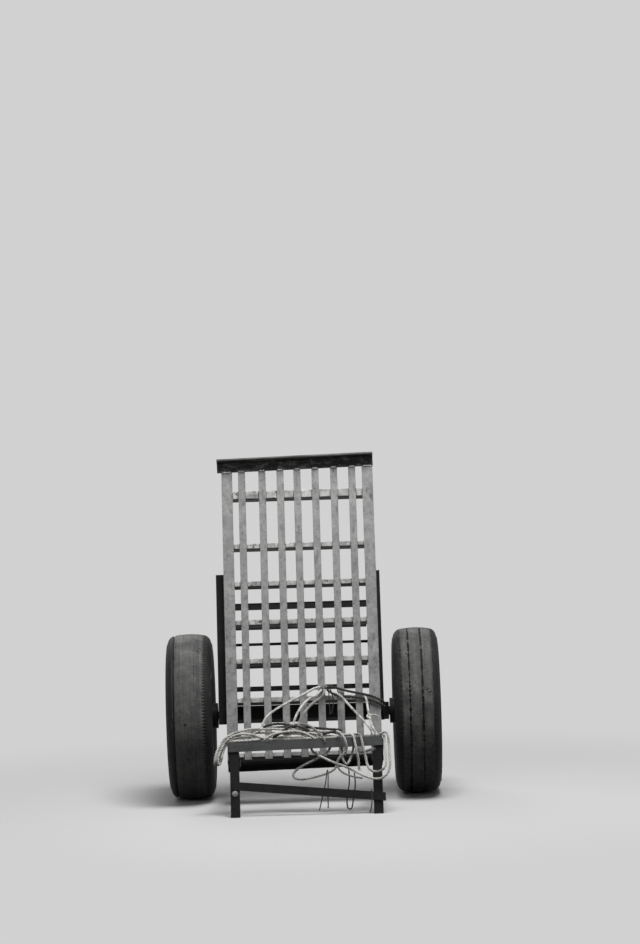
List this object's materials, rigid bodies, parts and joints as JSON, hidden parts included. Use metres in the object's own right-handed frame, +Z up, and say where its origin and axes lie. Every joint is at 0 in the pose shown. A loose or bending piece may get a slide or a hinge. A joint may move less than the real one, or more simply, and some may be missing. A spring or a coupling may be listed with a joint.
{
  "type": "porter's hand cart",
  "caption": "Two-wheeled porter's hand cart: slatted steel bed leaning on car wheels, with a toe frame, stand and rope lashings.",
  "frame": {"origin": "on the floor, under the middle of the box of the rigid cart", "axes": "+X across the cart towards the picture's right, -Y out of the cart's front towards the toe frame, +Z up"},
  "size_m": [0.9502, 0.856, 1.1954],
  "materials": {
    "dark_steel": "mill scale and old dark paint with dirt",
    "zinc_steel": "dull zinc plate",
    "bar_paint": "light grey paint, rubbed and chipped",
    "hub_iron": "greasy cast iron",
    "slat_paint": "worn grey paint on flat bar",
    "rim_paint": "dull grey wheel enamel",
    "rope_fibre": "twisted off-white cord, some of it soiled",
    "string_fibre": "thin dark twine",
    "toe_paint": "dark grey paint, dusty",
    "tyre_rubber": "worn dusty rubber"
  },
  "bodies": {
    "chassis": {"axle": "dark_steel", "axle_plate_left": "dark_steel", "axle_plate_right": "dark_steel", "cross_bar_1": "bar_paint", "cross_bar_2": "bar_paint", "cross_bar_3": "bar_paint", "cross_bar_4": "bar_paint", "cross_bar_5": "bar_paint", "cross_bar_6": "bar_paint", "cross_bar_7": "bar_paint", "cross_bar_8": "bar_paint", "handle_bar": "dark_steel", "leg_left": "dark_steel", "leg_right": "dark_steel", "lower_bar": "dark_steel", "rail_left": "slat_paint", "rail_right": "slat_paint", "rope_drop": "rope_fibre", "rope_hank": "rope_fibre", "rope_knot": "rope_fibre", "rope_loop_inner": "rope_fibre", "rope_loop_left": "rope_fibre", "rope_loop_right": "rope_fibre", "rope_pair_left": "rope_fibre", "rope_pair_right": "rope_fibre", "rope_rise": "rope_fibre", "rope_span_lower": "rope_fibre", "rope_span_upper": "rope_fibre", "rope_stay_long": "rope_fibre", "rope_stay_short": "rope_fibre", "shelf_lower": "dark_steel", "shelf_upper": "dark_steel", "slat_1": "slat_paint", "slat_2": "slat_paint", "slat_3": "slat_paint", "slat_4": "slat_paint", "slat_5": "slat_paint", "slat_6": "slat_paint", "slat_7": "slat_paint", "stiffeners": "dark_steel", "string_left": "string_fibre", "string_middle": "string_fibre", "string_right": "string_fibre", "tie_rod": "dark_steel", "toe_arm_left": "dark_steel", "toe_arm_right": "dark_steel", "toe_front_bar": "toe_paint", "toe_root_bar": "dark_steel", "upright_left": "dark_steel", "upright_right": "dark_steel"},
    "wheel_left": {"cap_left": "zinc_steel", "hub_left": "hub_iron", "lug_nuts_left": "zinc_steel", "rim_left": "rim_paint", "tyre_left": "tyre_rubber"},
    "wheel_right": {"cap_right": "zinc_steel", "hub_right": "hub_iron", "lug_nuts_right": "zinc_steel", "rim_right": "rim_paint", "tyre_right": "tyre_rubber"}
  },
  "joints": [
    {"name": "wheel_left_turn", "type": "hinge", "parent": "chassis", "child": "wheel_left", "pos_m": [-0.395, 0.13902, 0.289], "axis": [1, 0, 0], "continuous": true},
    {"name": "wheel_right_turn", "type": "hinge", "parent": "chassis", "child": "wheel_right", "pos_m": [0.395, 0.13902, 0.289], "axis": [1, 0, 0], "continuous": true}
  ]
}
